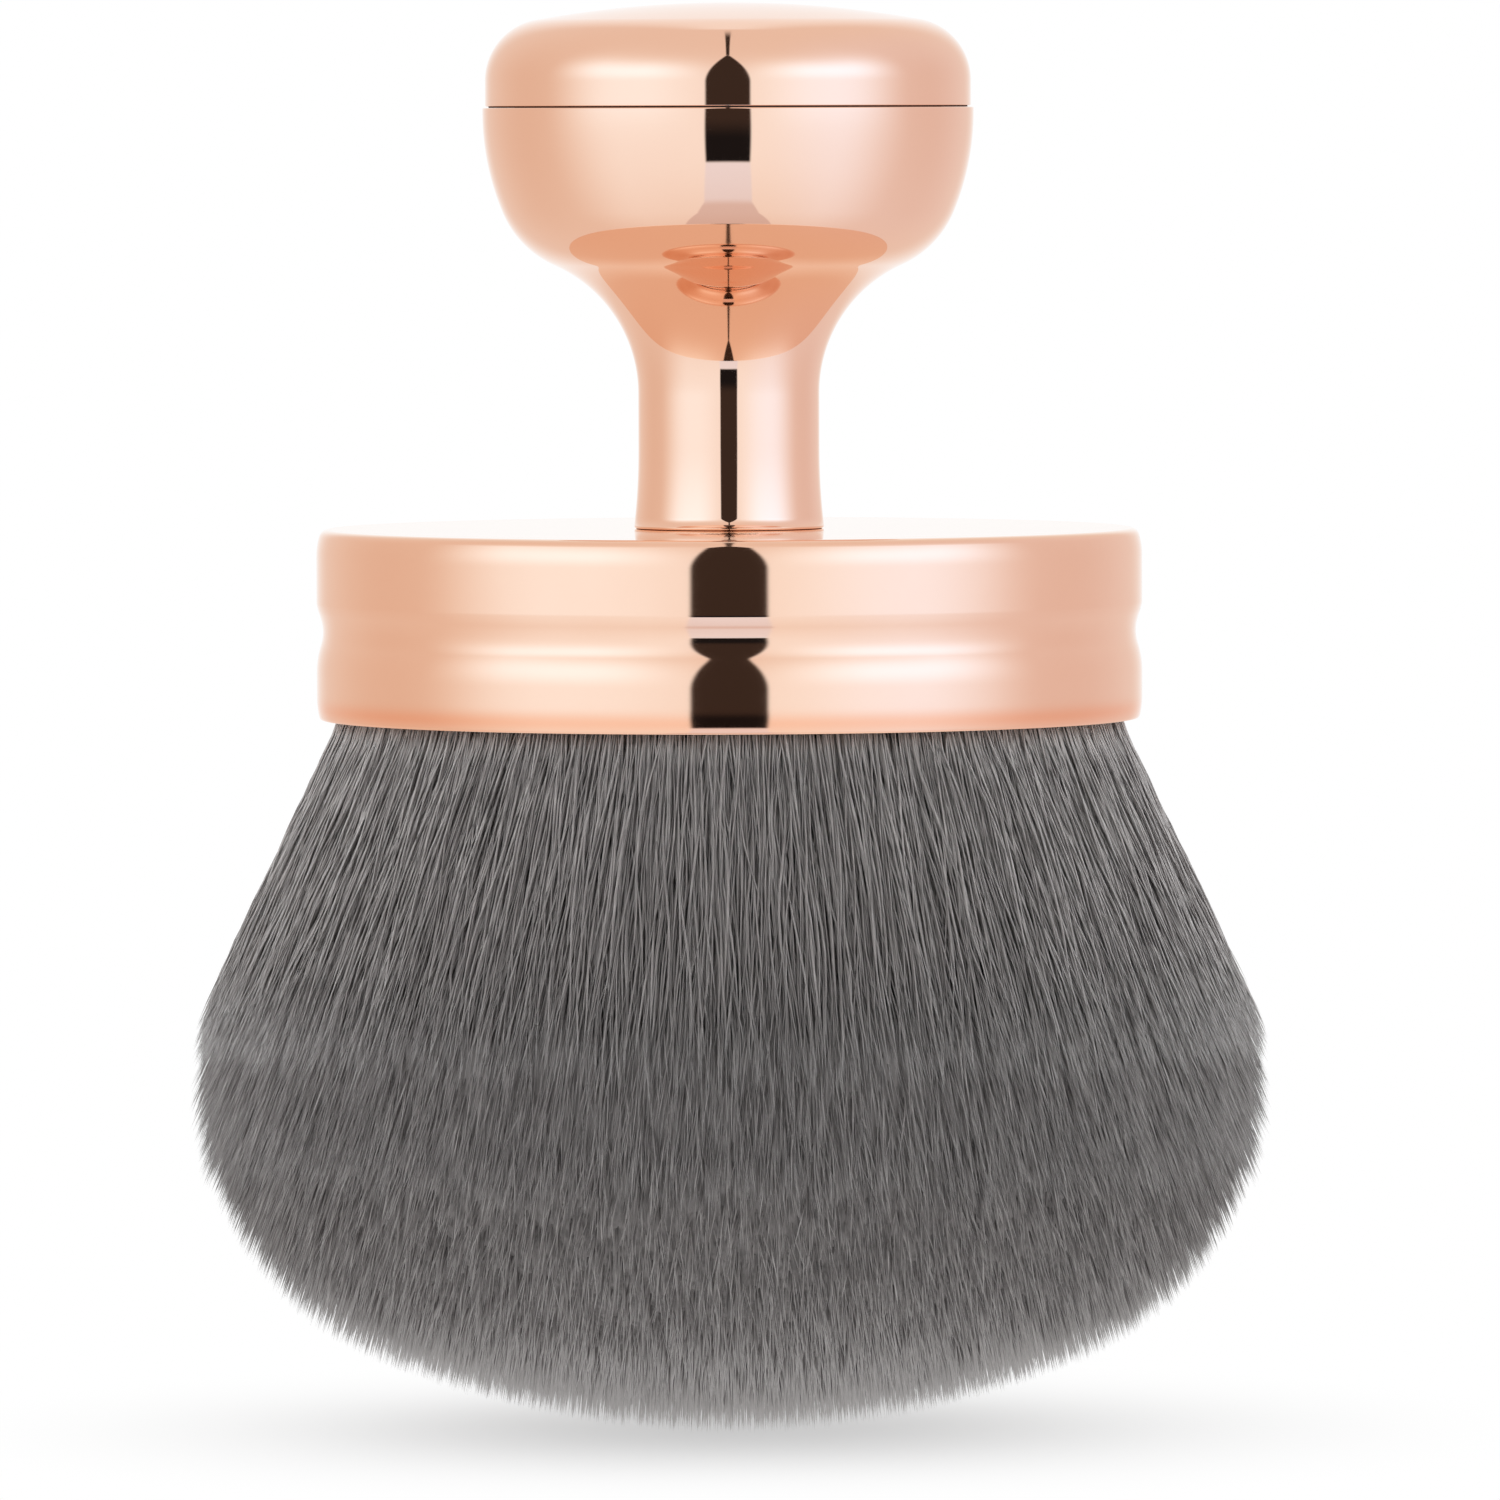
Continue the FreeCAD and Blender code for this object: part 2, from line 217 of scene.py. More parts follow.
def turned_piece(name, outline, closed):
    """Surface of revolution: each outline point (r, z) goes round Z as (r cos t, r sin t, z).

    A closed outline joins its last ring to its first; an open one starts and ends on the axis at a pole.
    The outline runs down the outside, so that faces point outwards.
    """
    points = outline.points()
    if closed:
        points = points[:-1] if np.allclose(points[0], points[-1]) else points
        rings = points
    else:
        rings = points[1:-1]
    turn = np.linspace(0, full_turn, turn_steps, endpoint=False)
    r, z = rings[:, :1], rings[:, 1:]
    vertices = around_axis(r, turn, np.broadcast_to(z, (len(rings), turn_steps))).reshape(-1, 3)
    index = np.arange(len(vertices)).reshape(len(rings), turn_steps)
    upper = index if closed else index[:-1]
    lower = np.roll(index, -1, axis=0) if closed else index[1:]
    quads = np.stack([upper, lower, np.roll(lower, -1, axis=1), np.roll(upper, -1, axis=1)], axis=-1)
    groups = [quads.reshape(-1, 4)]
    if not closed:
        first, last = len(vertices), len(vertices) + 1
        poles = np.array([[0, 0, points[0, 1]], [0, 0, points[-1, 1]]])
        vertices = np.concatenate([vertices, poles])
        start, end = index[0], index[-1]
        groups.append(np.stack([np.full(turn_steps, first), start, np.roll(start, -1)], axis=-1))
        groups.append(np.stack([np.full(turn_steps, last), np.roll(end, -1), end], axis=-1))
    return new_piece(name, vertices, groups)


def end_cap():
    """Domed cap: crown arc, round corner, upright side, small lower edge, then skirt and ceiling."""
    dome_z = crown_z - cap_dome_radius
    corner_r = cap_radius - cap_corner_round
    corner_rise = math.sqrt((cap_dome_radius - cap_corner_round) ** 2 - corner_r ** 2)
    corner_sweep = math.degrees(math.atan2(corner_rise, corner_r))
    ceiling_radius = cap_dome_radius - cap_wall
    ceiling_sweep = math.degrees(math.asin(skirt_bore / ceiling_radius))
    edge_z = seam_z + seam_gap
    outline = Outline(0, crown_z).arc(0, dome_z, corner_sweep - right_angle)
    outline.arc(corner_r, dome_z + corner_rise, -corner_sweep)
    outline.line(cap_radius, edge_z + cap_edge_round)
    outline.arc(cap_radius - cap_edge_round, edge_z + cap_edge_round, -right_angle)
    outline.line(cap_radius - seam_depth, edge_z).line(cap_radius - seam_depth, seam_z + seat_gap)
    outline.line(skirt_radius, seam_z + seat_gap).line(skirt_radius, seam_z - skirt_length)
    outline.line(skirt_bore, seam_z - skirt_length)
    outline.line(skirt_bore, dome_z + math.sqrt(ceiling_radius ** 2 - skirt_bore ** 2))
    return turned_piece("end_cap_plated", outline.arc(0, dome_z, ceiling_sweep), closed=False)


def handle_shell():
    """Bowl, cove and neck from the seam down to the foot, then up inside through screw bore and pockets."""
    side = math.radians(bowl_side_angle)
    steep = math.radians(shoulder_angle)
    side_reach = bowl_side_radius * (1 - math.cos(side))
    corner_reach = bowl_corner_radius * (math.cos(side) - math.cos(steep))
    cove_reach = bowl_radius - neck_radius - side_reach - corner_reach
    cove_radius = cove_reach / (1 - math.cos(steep))
    cove_z = ferrule_top_z + neck_length
    corner_z = cove_z + cove_radius * math.sin(steep) + bowl_corner_radius * math.sin(steep)
    corner_r = bowl_radius - side_reach - bowl_corner_radius * math.cos(side)
    side_z = corner_z + (bowl_side_radius - bowl_corner_radius) * math.sin(side)
    flare_depth = foot_radius - neck_radius
    flare_height = foot_flare - foot_round
    flare_radius = (flare_height ** 2 + flare_depth ** 2) / (2 * flare_depth)
    flare_sweep = math.degrees(math.asin(flare_height / flare_radius))
    ledge_z = seam_z - socket_depth
    pocket_z = ledge_z - pocket_depth
    seat_z = pocket_z - seat_depth
    outline = Outline(bowl_radius - bowl_wall, seam_z).line(bowl_radius - rim_round, seam_z)
    outline.arc(bowl_radius - rim_round, seam_z - rim_round, -right_angle)
    outline.line(bowl_radius, side_z)
    outline.arc(bowl_radius - bowl_side_radius, side_z, -bowl_side_angle)
    outline.arc(corner_r, corner_z, bowl_side_angle - shoulder_angle)
    outline.arc(neck_radius + cove_radius, cove_z, shoulder_angle)
    outline.line(neck_radius, ferrule_top_z + foot_flare)
    outline.arc(neck_radius + flare_radius, ferrule_top_z + foot_flare, flare_sweep)
    outline.line(foot_radius, ferrule_top_z + foot_round)
    outline.arc(foot_radius - foot_round, ferrule_top_z + foot_round, -right_angle)
    outline.line(screw_bore, ferrule_top_z).line(screw_bore, seat_z).line(seat_radius, seat_z)
    outline.line(seat_radius, pocket_z).line(pocket_radius, pocket_z).line(pocket_radius, ledge_z)
    outline.line(bowl_radius - bowl_wall, ledge_z).line(bowl_radius - bowl_wall, seam_z)
    return turned_piece("handle_shell_plated", outline, closed=True)


def drawn_in(points, inset):
    """Curve moved to the right of its run, along its normal, by the inset."""
    step = np.gradient(points, axis=0)
    normal = np.stack([step[:, 1], -step[:, 0]], axis=-1)
    return points + normal / np.linalg.norm(normal, axis=1, keepdims=True) * inset


def rolled_groove():
    """Groove from its upper end down: rounded in, past its steepest place, round the floor and out in an S.

    An arc of radius R between leans a and b steps down by R |sin a - sin b| and in by R |cos a - cos b|.
    The way in sets the depth, and the last arc's radius is what brings the line back to the wall.
    """
    flank = math.radians(groove_flank_angle)
    steepest = math.radians(groove_steepest_angle)
    leave = math.radians(groove_exit_angle)
    round_in = groove_entry_round + groove_floor_round
    fall = round_in * math.sin(flank) + 2 * groove_flank_round * (math.sin(steepest) - math.sin(flank))
    depth = round_in * (1 - math.cos(flank))
    depth += 2 * groove_flank_round * (math.cos(flank) - math.cos(steepest))
    exit_round = depth / (1 - math.cos(leave)) - groove_lower_round
    steepening = groove_steepest_angle - groove_flank_angle
    groove = Outline(ferrule_radius, mouth_z + groove_height + fall)
    lean = 0.0
    for radius, turn in (
        (groove_entry_round, -groove_flank_angle),
        (groove_flank_round, -steepening),
        (groove_flank_round, steepening),
        (groove_floor_round, groove_flank_angle),
        (groove_lower_round, groove_exit_angle),
        (exit_round, -groove_exit_angle),
    ):
        groove.bend(radius, lean, turn)
        lean += turn
    return groove.points()


def ferrule():
    """Drawn cup: flat mirror top, rolled groove and turned-in lip outside, then the same wall inside."""
    inner_radius = ferrule_radius - ferrule_wall
    plug_top_z = ferrule_top_z - ferrule_wall
    groove = rolled_groove()
    lean, spare = math.radians(top_ease_angle), top_ease_radius - ferrule_top_round
    edge_r = ferrule_radius - top_ease_radius + spare * math.cos(lean)
    edge_z = ferrule_top_z - ferrule_top_round
    outline = Outline(spigot_hole, ferrule_top_z).line(edge_r, ferrule_top_z)
    outline.arc(edge_r, edge_z, top_ease_angle - right_angle)
    outline.arc(ferrule_radius - top_ease_radius, edge_z - spare * math.sin(lean), -top_ease_angle)
    outline.line(*groove[0])
    outline.runs.append(groove[1:])
    lip_z = mouth_z + hem_height + lip_ease_radius * math.sin(math.radians(lip_ease_angle))
    outline.line(ferrule_radius, lip_z).arc(ferrule_radius - lip_ease_radius, lip_z, -lip_ease_angle)
    lip, hem = math.sin(math.radians(lip_ease_angle)), math.sin(math.radians(hem_angle))
    hem_radius = (hem_height - hem_round * (1 - hem)) / (hem - lip)
    outline.bend(hem_radius, -lip_ease_angle, lip_ease_angle - hem_angle)
    outline.bend(hem_round, -hem_angle, hem_angle - right_angle)
    outline.line(lip_radius, mouth_z).line(lip_radius, mouth_z + ferrule_wall)
    outline.line(inner_radius, mouth_z + ferrule_wall)
    back = drawn_in(groove, ferrule_wall)[::-1]
    outline.line(*back[0])
    outline.runs.append(back[1:])
    outline.line(inner_radius, plug_top_z).line(spigot_hole, plug_top_z).line(spigot_hole, ferrule_top_z)
    return turned_piece("ferrule_plated", outline, closed=True)


# Bristle pack: every bristle is a straight ray of one fan, cut off where it meets the tip surface
tip_dome_z = tip_dome_radius - tip_drop
tip_edge_reach = head_radius - tip_edge_round
tip_edge_fall = math.sqrt((tip_dome_radius - tip_edge_round) ** 2 - tip_edge_reach ** 2)
belly_z = tip_dome_z - tip_edge_fall
fan_bottom_z = belly_z + widest_band
fan_slope = (head_radius - mouth_radius) / (mouth_z - fan_bottom_z)
fan_apex_z = mouth_z + mouth_radius / fan_slope
bristle_length = mouth_z + tip_drop
whole_length = 2 * bristle_length   # more than any bristle's, so that it starts at its root

long_count = 10500              # outer bristles, modelled from the mouth to the tip
long_depth = 1.25               # how deep their layer goes
long_crowding = 0.8             # below 1, so that more of them lie deep in it than near its face
long_growth = (-1.1, 1.6)       # how far they pass the tip surface: middle value and spread
long_growth_limits = (-6.0, 0.6)
middle_count = 11000            # next layer, modelled below the middle of the fan
middle_share = (0.86, 0.96)
middle_length = 22.0
middle_length_range = (0.6, 1.3)
middle_reach = 1.4              # how far the longest of them pass the tip surface
middle_spread = 1.4             # how far the others fall short of those
short_count = 27000             # inner bristles, of which only the ends show
short_share = 0.88
short_length = 8.5
short_length_range = (0.8, 1.25)
short_reach = ((0.3, 0.8), (0.5, 0.85))     # as for the middle ones, but by share of the fan
short_spread = ((0.3, 0.8), (0.5, 0.95))
root_rise = 0.5                 # roots start this far inside the ferrule
strand_sides = 3
strand_radius = 0.075
map_width = 0.001               # width of one bristle on its map
off_axis = (1e-6, 0, 0)         # gives a bristle on the axis a direction across it

# Rings along a bristle, pieces that its layer is split into, sway in millimetres, lean in radians to the
# millimetre, and slimness: places along the bristle and the share of its thickness at each
long_form = dict(rings=12, pieces=4, sway=0.24, lean=0.0019, slimness=((0, 0.75, 1), (1, 1, 0.25)))
middle_form = dict(rings=6, pieces=2, sway=0.15, lean=0.0025, slimness=((0, 0.6, 1), (1.15, 1.15, 0.3)))
short_form = dict(rings=3, pieces=3, sway=0.05, lean=0.004, slimness=((0, 0.34, 0.67), (1.35, 1.3, 0.85)))


def pack_outline():
    """Outer surface of the pack from the lowest tip outwards and up: dome, tip edge, belly, shoulder."""
    edge_sweep = math.degrees(math.atan2(tip_edge_fall, tip_edge_reach))
    fan_angle = math.degrees(math.atan(fan_slope))
    shoulder_length = shoulder_round * math.tan(math.radians(fan_angle / 2))
    outline = Outline(0, -tip_drop).arc(0, tip_dome_z, right_angle - edge_sweep)
    outline.arc(tip_edge_reach, belly_z, edge_sweep)
    outline.line(head_radius, fan_bottom_z - shoulder_length)
    return outline.arc(head_radius - shoulder_round, fan_bottom_z - shoulder_length, fan_angle)


def fan_share(r, z):
    """Which ray of the fan passes a point: 0 on the axis, 1 on the straight outer side."""
    return r / (fan_slope * (fan_apex_z - z))


def ray_tips(share):
    """Heights at which rays of the fan meet the tip surface."""
    r, z = pack_outline().points().T
    return np.interp(share, fan_share(r, z), z)


def strand_piece(name, line, thickness, shade, reach):
    """Tapered three-sided bristles along centre lines of shape (strands, rings + 1, 3), up to a tip.

    Each ring is the centre plus thickness times (cos a, sin a) in the plane across the strand, at three
    angles a. The map holds the strand's own shade in u and how near the point is to the tip in v.
    """
    strands, rings = thickness.shape
    along = line[:, -1] - line[:, 0]
    along /= np.linalg.norm(along, axis=1, keepdims=True)
    across = np.cross(along, line[:, -1] * [1, 1, 0] + off_axis)
    across /= np.linalg.norm(across, axis=1, keepdims=True)
    upright = np.cross(along, across)
    roll = rng.uniform(0, full_turn, (strands, 1)) + np.arange(strand_sides) * full_turn / strand_sides
    spoke = np.cos(roll)[..., None] * across[:, None] + np.sin(roll)[..., None] * upright[:, None]
    ring = line[:, :-1, None] + thickness[..., None, None] * spoke[:, None]
    size = rings * strand_sides + 1
    vertices = np.concatenate([ring.reshape(strands, -1, 3), line[:, -1:]], axis=1).reshape(-1, 3)
    index = np.arange(strands)[:, None] * size + np.arange(size - 1)
    index = index.reshape(strands, rings, strand_sides)
    beside = np.roll(index, -1, axis=2)
    quads = np.stack([index[:, :-1], beside[:, :-1], beside[:, 1:], index[:, 1:]], axis=-1).reshape(-1, 4)
    tip = np.broadcast_to((np.arange(strands) * size + size - 1)[:, None], (strands, strand_sides))
    points = np.stack([index[:, -1], beside[:, -1], tip], axis=-1).reshape(-1, 3)
    roots = index[:, 0, ::-1]
    aside = np.append(np.tile(np.linspace(-map_width, map_width, strand_sides), rings), 0)
    near = np.concatenate([np.repeat(reach[:, :-1], strand_sides, axis=1), reach[:, -1:]], axis=1)
    uv = np.stack([shade[:, None] + aside, near], axis=-1).reshape(-1, 2)
    return new_piece(name, vertices, [quads, points, roots], uv)


tuft_place = (0.2, 0.8)         # where in its own sector a tuft may lie


class Tufts:
    """Places where neighbouring bristles close up: each tuft has its own angle, height, reach and pull."""

    def __init__(self, spacing, reach, pull):
        self.count = round(full_turn / spacing)
        self.angle = (np.arange(self.count) + rng.uniform(*tuft_place, self.count)) * full_turn / self.count
        self.height = rng.uniform(-tip_drop, mouth_z, self.count)
        self.reach = rng.uniform(*reach, self.count)
        self.pull = rng.uniform(*pull, self.count)

    def drawn(self, turn, z):
        """Turn of a strand towards its tuft: the gap to it, times the pull, times a bell in height."""
        own = np.floor(turn / full_turn * self.count).astype(int) % self.count
        apart = (self.angle[own] - turn + np.pi) % full_turn - np.pi
        away = (z - self.height[own][:, None]) / self.reach[own][:, None]
        return (apart * self.pull[own])[:, None] * np.exp(-away ** 2)


# Tufts from wide to narrow: radians from one to the next, then least and most reach in millimetres and pull
tuft_sizes = (
    (0.06, (4, 9), (0.1, 0.4)),
    (0.045, (3.5, 7), (0.15, 0.5)),
    (0.032, (3, 6), (0.15, 0.5)),
    (0.022, (3, 6), (0.15, 0.5)),
    (0.016, (3, 5), (0.15, 0.5)),
    (0.011, (2.5, 4.5), (0.15, 0.5)),
)
tufts = [Tufts(spacing, reach, pull) for spacing, reach, pull in tuft_sizes]
sway_length = (11.0, 24.0)
thickness_range = (0.7, 1.25)
tip_overshoot = 0.25            # no tip goes further than this below the tip surface's lowest point
lock_depth = 0.025              # bristles of one lock, this deep in shares of the fan, are alike in shade
lock_turn = 0.618               # each lock layer is turned against the last by this much
shade_scatter = 0.0008
# How pale a tip gets: the paleness is partly the fibres' own and partly painted light.
side_hold = 0.45                # tips of the outer bristles stop this far short of full paleness
belly_hold = 0.6
end_hold = ((0.5, 0.75, 0.9), (0.0, 1.3, 1.7))      # and those of the inner ones, by share of the fan
pale_spread = (0.2, 1.7)
root_reach = 0.2                # value on the map at a root inside the ferrule


def bristles(name, share, length, grow, hold, rings, pieces, sway, lean, slimness):
    """Bristles on rays of the fan, modelled for their last length before the tip surface.

    Along a strand the height falls evenly, the radius is the ray's, moved in and out by a slow sine so that
    strands dive under their neighbours and come up again, and the angle is drawn into tufts.
    """
    count = len(share)
    low_z = np.maximum(ray_tips(share) - grow, -tip_drop - tip_overshoot)
    high_z = np.minimum(low_z + length, mouth_z + root_rise)
    along = np.linspace(0, 1, rings + 1)
    fall = (high_z - low_z)[:, None]
    z = high_z[:, None] - fall * along
    phase = rng.uniform(0, full_turn, (2, count, 1))
    waves = np.sin(phase + full_turn * fall * along / rng.uniform(*sway_length, (2, count, 1)))
    spread = mouth_radius + fan_slope * np.maximum(mouth_z - z, 0)
    r = share[:, None] * spread + sway * waves[0]
    turn = np.sort(rng.uniform(0, full_turn, count))
    path = turn[:, None] + sum(tuft.drawn(turn, z) for tuft in tufts) + sway * waves[1] / spread
    path = path + rng.normal(0, lean, (count, 1)) * (along - 0.5) * fall
    thick = strand_radius * rng.uniform(*thickness_range, (count, 1)) * np.interp(along[:-1], *slimness)
    hold = (hold * rng.uniform(*pale_spread, count))[:, None]
    start = np.where(high_z[:, None] < mouth_z, 1 - (fall + hold) / bristle_length, root_reach)
    reach = start + (1 - hold / bristle_length - start) * along
    lock = turn / full_turn + np.floor(share / lock_depth) * lock_turn + rng.normal(0, shade_scatter, count)
    shade = map_width + (1 - 2 * map_width) * (lock % 1)
    line = around_axis(r, path, z)
    parts = np.array_split(np.arange(count), pieces)
    return [
        strand_piece(f"{name}_{number}", line[part], thick[part], shade[part], reach[part])
        for number, part in enumerate(parts, start=1)
    ]


def long_bristles():
    """Outer layer of the fan, from inside the ferrule's mouth to the belly."""
    share = 1 - long_depth * rng.uniform(0, 1, long_count) ** long_crowding / head_radius
    grow = np.clip(rng.normal(*long_growth, long_count), *long_growth_limits)
    return bristles("long_bristles", share, whole_length, grow, side_hold, **long_form)


def middle_bristles():
    """Layer under the long bristles, whose lower halves and tips show on the belly."""
    share = rng.uniform(*middle_share, middle_count)
    grow = middle_reach - np.abs(rng.normal(0, middle_spread, middle_count))
    length = middle_length * rng.uniform(*middle_length_range, middle_count)
    return bristles("middle_bristles", share, length, grow, belly_hold, **middle_form)


def short_bristles():
    """Ends of the inner bristles, which make the dome."""
    share = np.sqrt(rng.uniform(0, short_share ** 2, short_count))
    grow = np.interp(share, *short_reach) - np.abs(rng.normal(0, np.interp(share, *short_spread)))
    length = short_length * rng.uniform(*short_length_range, short_count)
    return bristles("short_bristles", share, length, grow, np.interp(share, *end_hold), **short_form)


bed_inset = ((0.0, 15.0, 30.0), (3.4, 2.4, 1.5))    # depth under the tips by height: deepest under the dome


def bristle_bed():
    """Packed inside of the bundle: the outer surface drawn in along its normal, closed at the mouth."""
    surface = pack_outline().line(mouth_radius, mouth_z).points()
    inside = drawn_in(surface, -np.interp(surface[:, 1:], *bed_inset))[::-1]
    inside[-1, 0] = 0
    bed = Outline(0, mouth_z + root_rise).line(mouth_radius - bed_inset[1][-1], mouth_z + root_rise)
    bed.runs.append(inside[inside[:, 1] < mouth_z])
    return turned_piece("bristle_bed", bed, closed=False)


class Signal:
    """One shader socket. Arithmetic on signals and numbers adds Math nodes to the same tree."""

    def __init__(self, bench, socket):
        self.bench = bench
        self.socket = socket

    def maths(self, operation, first, second=0.0):
        return self.bench.node("ShaderNodeMath", {"operation": operation}, {0: first, 1: second})

    def __add__(self, other):
        return self.maths("ADD", self, other)

    __radd__ = __add__

    def __sub__(self, other):
        return self.maths("SUBTRACT", self, other)

    def __rsub__(self, other):
        return self.maths("SUBTRACT", other, self)

    def __mul__(self, other):
        return self.maths("MULTIPLY", self, other)

    def __truediv__(self, other):
        return self.maths("DIVIDE", self, other)

    def __pow__(self, other):
        return self.maths("POWER", self, other)

    def __rpow__(self, other):
        return self.maths("POWER", other, self)

    def size(self):
        """Value without its sign."""
        return self.maths("ABSOLUTE", self)

    def bell(self, middle, width):
        """Bell curve: 1 at the middle, falling off over the width on both sides."""
        away = (self - middle) / width
        return math.e ** (away * away * -0.5)

    def between(self, low, high):
        """Smooth step from 0 at low to 1 at high."""
        sockets = {"Value": self, "From Min": low, "From Max": high}
        return self.bench.node("ShaderNodeMapRange", {"interpolation_type": "SMOOTHSTEP"}, sockets)


mix_share, mix_first, mix_second, mix_result = 0, 6, 7, 2   # the Mix node's sockets when it mixes colours


class Bench:
    """Node tree of one finish, or of the studio's light."""

    def __init__(self, tree):
        self.tree = tree
        tree.nodes.clear()

    def node(self, kind, settings=None, sockets=None, out=0):
        """Adds a node, sets its settings or ramp stops, then its sockets' values or links."""
        made = self.tree.nodes.new(kind)
        for name, value in (settings or {}).items():
            if name == "stops":
                ramp = made.color_ramp
                while len(ramp.elements) < len(value):
                    ramp.elements.new(0.5)
                for element, (place, colour) in zip(ramp.elements, value):
                    element.position = place
                    element.color = (*colour, 1)
            else:
                setattr(made, name, value)
        for name, value in (sockets or {}).items():
            if isinstance(value, Signal):
                self.tree.links.new(value.socket, made.inputs[name])
            else:
                made.inputs[name].default_value = value
        return Signal(self, made.outputs[out]) if made.outputs else made

    def mixed(self, share, first, second):
        """Colour between first and second."""
        sockets = {mix_share: share, mix_first: first, mix_second: second}
        return self.node("ShaderNodeMix", {"data_type": "RGBA"}, sockets, out=mix_result)

    def place(self):
        """Object coordinates, in metres."""
        return self.node("ShaderNodeTexCoord", out="Object")

    def part(self, vector, axis):
        """One of a vector's three values, by the axis's name."""
        return self.node("ShaderNodeSeparateXYZ", {}, {"Vector": vector}, out=axis)

    def rays(self):
        """Whether a ray comes from the camera, off a glossy surface and through a clear one."""
        kinds = ("Is Camera Ray", "Is Glossy Ray", "Is Transmission Ray")
        return [self.node("ShaderNodeLightPath", out=kind) for kind in kinds]

    def noise(self, scale, detail=2.0):
        """Noise value with so many blotches to the metre."""
        sockets = {"Vector": self.place(), "Scale": scale, "Detail": detail}
        return self.node("ShaderNodeTexNoise", {}, sockets)

    def grain(self, vector, scales, detail):
        """Noise value with its own scale along each axis, for grain that runs one way."""
        stretched = self.node("ShaderNodeMapping", {}, {"Vector": vector, "Scale": scales})
        return self.node("ShaderNodeTexNoise", {}, {"Vector": stretched, "Scale": 1.0, "Detail": detail})

    def bump(self, height, strength, distance):
        """Normal of a surface that rises with the height, by the distance in metres."""
        sockets = {"Height": height, "Strength": strength, "Distance": distance}
        return self.node("ShaderNodeBump", {}, sockets)

    def grained(self, grain, colours, roughness, contrast=(), metallic=0.0, relief=()):
        """Sockets of a finish that follows one grain.

        The colour goes from the first to the second, all of it within the contrast where that is given. Of
        the roughness the second value is what the grain adds. Relief is a bump's strength and distance.
        """
        share = grain.between(*contrast) if contrast else grain
        least, added = roughness
        sockets = {
            "Base Color": self.mixed(share, *colours),
            "Metallic": metallic,
            "Roughness": least + grain * added,
        }
        if relief:
            sockets["Normal"] = self.bump(grain, *relief)
        return sockets


def finish_of(name, make):
    """Material whose Principled sockets come from make(bench), a dictionary of socket names."""
    material = bpy.data.materials.new(name)
    material.use_nodes = True
    bench = Bench(material.node_tree)
    shader = bench.node("ShaderNodeBsdfPrincipled", {}, make(bench))
    bench.node("ShaderNodeOutputMaterial", {}, {"Surface": shader})
    return material


rose_gold = (0.93, 0.65, 0.51, 1)
rose_gold_deep = (0.92, 0.63, 0.49, 1)
plate_roughness = 0.03
plate_haze_roughness = 0.03     # what the haze adds
plate_haze_edge = (0.5, 0.8)
rose_gold_metal = (0.93, 0.635, 0.485, 1)
rose_gold_metal_deep = (0.92, 0.615, 0.465, 1)
# painted highlight: the ferrule's top is paler, standing in for brighter light from above
rose_gold_painted_highlight = (0.95, 0.73, 0.59, 1)
painted_highlight_depth = 0.3
# painted reflection: a darker, redder band round the lip, standing in for what the lip mirrors below it
rose_gold_lip_reflection = (0.93, 0.5, 0.33, 1)
lip_reflection_height = 0.75
lip_reflection_width = 0.45
metal_roughness = 0.035
wheel_roughness = 0.03          # what the wheel's lines add
wheel_lines = (40, 40, 9000)    # they run round the ferrule, so they lie close along Z
# painted shade in the seam gap: the cap's foot below the seam is dark brown and matt
seam_shade_brown = (0.05, 0.035, 0.03, 1)
seam_blur = 0.01
seam_shade_roughness = 0.7


def rose_gold_plate(bench):
    """Mirror plating: faint clouds in colour and gloss, and the least ripple of the moulding under it."""
    cloud = bench.noise(scale=160)
    haze = bench.noise(scale=420, detail=3).between(*plate_haze_edge)
    ripple = bench.noise(scale=90, detail=1)
    return {
        "Base Color": bench.mixed(cloud, rose_gold, rose_gold_deep),
        "Metallic": 1.0,
        "Roughness": plate_roughness + haze * plate_haze_roughness,
        "Normal": bench.bump(ripple, strength=0.02, distance=0.0002),
    }


def plated_cap(bench):
    """The same plating, which ends at the seam: below it the cap's recessed foot is painted shade, dark and
    matt.
    """
    height = bench.part(bench.place(), "Z")
    foot_z = seam_z + seam_gap
    plated = height.between((foot_z - seam_blur) * MM, (foot_z + seam_blur) * MM)
    plate = rose_gold_plate(bench)
    return {
        "Base Color": bench.mixed(plated, seam_shade_brown, plate["Base Color"]),
        "Metallic": plated,
        "Roughness": seam_shade_roughness + plated * (plate["Roughness"] - seam_shade_roughness),
        "Normal": plate["Normal"],
    }


def rose_gold_ferrule(bench):
    """Drawn metal: mirror with faint lines from the polishing wheel; painted highlight on top, painted
    redder reflection at the lip.
    """
    lines = bench.grain(bench.place(), wheel_lines, detail=3)
    haze = bench.noise(scale=300, detail=3)
    height = bench.part(bench.place(), "Z")
    # painted highlight over the top, painted reflection at the lip
    top = height.between((ferrule_top_z - painted_highlight_depth) * MM, ferrule_top_z * MM)
    lip = height.bell((mouth_z + lip_reflection_height) * MM, lip_reflection_width * MM)
    metal = bench.mixed(haze, rose_gold_metal, rose_gold_metal_deep)
    metal = bench.mixed(top, metal, rose_gold_painted_highlight)
    return {
        "Base Color": bench.mixed(lip, metal, rose_gold_lip_reflection),
        "Metallic": 1.0,
        "Roughness": metal_roughness + lines * wheel_roughness,
        "Normal": bench.bump(lines, strength=0.01, distance=0.00005),
    }


bristle_dark = (0.198, 0.183, 0.18)
bristle_mid = (0.264, 0.246, 0.242)
bristle_light = (0.317, 0.297, 0.291)
bristle_bright = (0.414, 0.39, 0.383)
# tip colour: pale thin fibre ends, partly painted light standing in for light from below
pale_tip_and_painted_light = (0.68, 0.654, 0.646, 1)
side_pale_from = 0.97           # where along the bristle the paling begins
end_pale_from = 0.94
